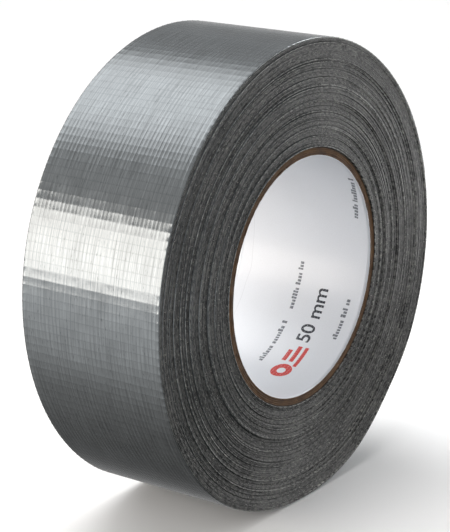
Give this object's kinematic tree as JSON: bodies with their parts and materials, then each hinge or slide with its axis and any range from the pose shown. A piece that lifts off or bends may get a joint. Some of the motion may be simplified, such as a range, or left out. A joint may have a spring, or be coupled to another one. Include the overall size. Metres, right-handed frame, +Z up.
{
  "type": "duct tape roll",
  "caption": "Roll of silver cloth-backed adhesive tape wound on a paper-lined board core, standing on its rim, with a free end that peels up.",
  "frame": {"origin": "middle of the roll, on its axis and halfway between its two faces", "axes": "+Y along the roll's axis, away from the front face; +Z up as the roll stands on its rim"},
  "size_m": [0.1489, 0.0514, 0.1488],
  "materials": {
    "liner_paper": "glossy white paper liner glued in the bore",
    "core_board": "brown kraft board, spiral wound",
    "wound_tape_edge": "slit edges of the wound tape, dark grey with fine rings and thread ends",
    "backing_film": "silver-grey polyethylene film over a cloth weave, satin gloss",
    "scrim_cloth": "open woven cotton and polyester scrim",
    "adhesive": "tacky natural rubber adhesive, off-white to grey"
  },
  "bodies": {
    "roll": {"core_liner": "liner_paper", "core_ply_1": "core_board", "core_ply_2": "core_board", "core_ply_3": "core_board", "core_ply_4": "core_board", "tape_turns_1": "wound_tape_edge", "tape_turns_2": "wound_tape_edge", "tape_turns_3": "wound_tape_edge", "tape_turns_4": "wound_tape_edge", "tape_turns_5": "wound_tape_edge", "tape_turns_6": "wound_tape_edge", "outer_turn_backing": "backing_film", "outer_turn_scrim": "scrim_cloth", "outer_turn_adhesive": "adhesive"},
    "end_flap_1": {"end_flap_1_backing": "backing_film", "end_flap_1_scrim": "scrim_cloth", "end_flap_1_adhesive": "adhesive"},
    "end_flap_2": {"end_flap_2_backing": "backing_film", "end_flap_2_scrim": "scrim_cloth", "end_flap_2_adhesive": "adhesive"},
    "end_flap_3": {"end_flap_3_backing": "backing_film", "end_flap_3_scrim": "scrim_cloth", "end_flap_3_adhesive": "adhesive"},
    "end_flap_4": {"end_flap_4_backing": "backing_film", "end_flap_4_scrim": "scrim_cloth", "end_flap_4_adhesive": "adhesive"},
    "end_flap_5": {"end_flap_5_backing": "backing_film", "end_flap_5_scrim": "scrim_cloth", "end_flap_5_adhesive": "adhesive"}
  },
  "joints": [
    {"name": "end_flap_peel", "type": "hinge", "parent": "roll", "child": "end_flap_1", "pos_m": [0.03151, 0, 0.06758], "axis": [0, -1, 0], "range_deg": [0, 90]},
    {"name": "end_flap_bend_2", "type": "hinge", "parent": "end_flap_1", "child": "end_flap_2", "pos_m": [0.04277, 0, 0.06109], "axis": [0, -1, 0], "range_deg": [0, 10]},
    {"name": "end_flap_bend_3", "type": "hinge", "parent": "end_flap_2", "child": "end_flap_3", "pos_m": [0.05273, 0, 0.05273], "axis": [0, -1, 0], "range_deg": [0, 10]},
    {"name": "end_flap_bend_4", "type": "hinge", "parent": "end_flap_3", "child": "end_flap_4", "pos_m": [0.0611, 0, 0.04278], "axis": [0, -1, 0], "range_deg": [0, 10]},
    {"name": "end_flap_bend_5", "type": "hinge", "parent": "end_flap_4", "child": "end_flap_5", "pos_m": [0.0676, 0, 0.03152], "axis": [0, -1, 0], "range_deg": [0, 10]}
  ],
  "couplings": [
    {"joint": "end_flap_bend_2", "follows": "end_flap_peel", "ratio": 0.11111},
    {"joint": "end_flap_bend_3", "follows": "end_flap_peel", "ratio": 0.11111},
    {"joint": "end_flap_bend_4", "follows": "end_flap_peel", "ratio": 0.11111},
    {"joint": "end_flap_bend_5", "follows": "end_flap_peel", "ratio": 0.11111}
  ]
}
